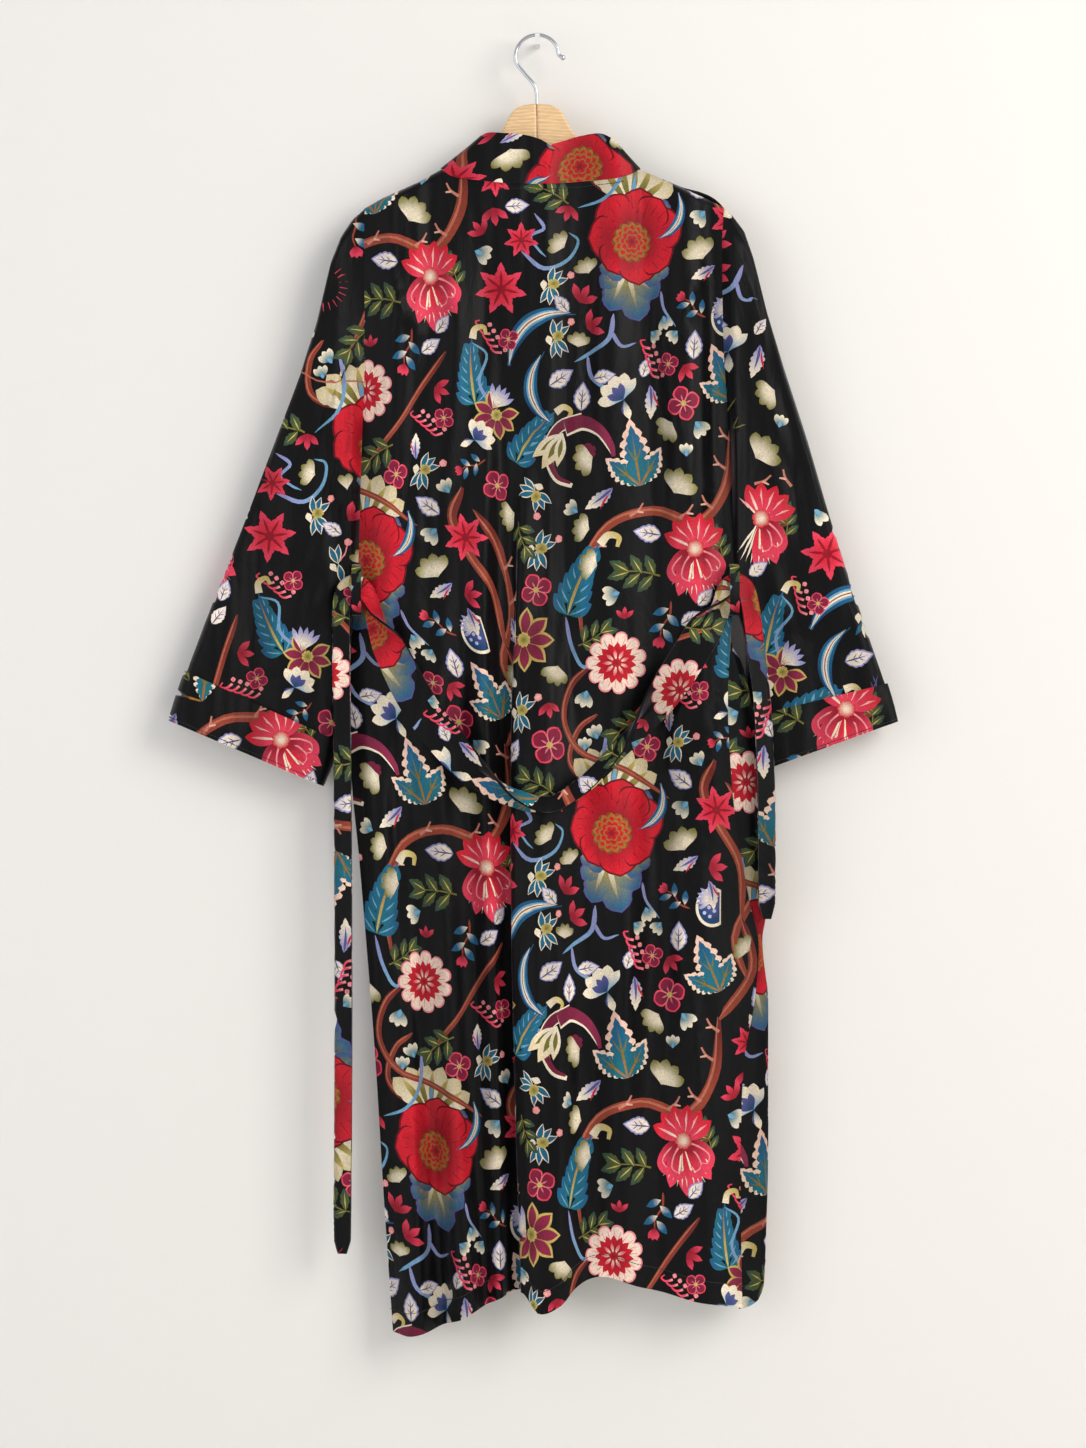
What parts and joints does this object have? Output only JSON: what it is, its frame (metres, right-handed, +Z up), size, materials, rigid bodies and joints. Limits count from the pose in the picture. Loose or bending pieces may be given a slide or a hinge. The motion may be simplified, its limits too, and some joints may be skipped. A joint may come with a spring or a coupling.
{
  "type": "kimono robe on hanger",
  "caption": "Long printed velvet kimono robe with wide turned-cuff sleeves, neck band and loose belt, hung back outwards on a wooden hanger from a wall hook",
  "frame": {"origin": "where the wall hook's shank leaves the wall, in the middle of the hook's width", "axes": "+Z up, -Y out of the wall towards the viewer, +X to the viewer's right, which is the wearer's right because the robe shows its back"},
  "size_m": [0.7703, 0.0897, 1.3697],
  "materials": {
    "velvet": "black velvet with a printed floral, soft sheen",
    "wood": "pale lacquered wood",
    "wire": "bright plated wire",
    "wall_pin": "milky clear plastic"
  },
  "bodies": {
    "root": {"back_panel": "velvet", "front_left": "velvet", "front_right": "velvet", "neck_band_back": "velvet", "neck_band_left": "velvet", "neck_band_right": "velvet", "sleeve_left": "velvet", "sleeve_right": "velvet", "cuff_left": "velvet", "cuff_right": "velvet", "belt": "velvet", "belt_loop_left": "velvet", "belt_loop_right": "velvet", "hanger_arm_left": "wood", "hanger_arm_right": "wood", "hanger_hook": "wire", "wall_hook": "wall_pin"}
  },
  "joints": []
}
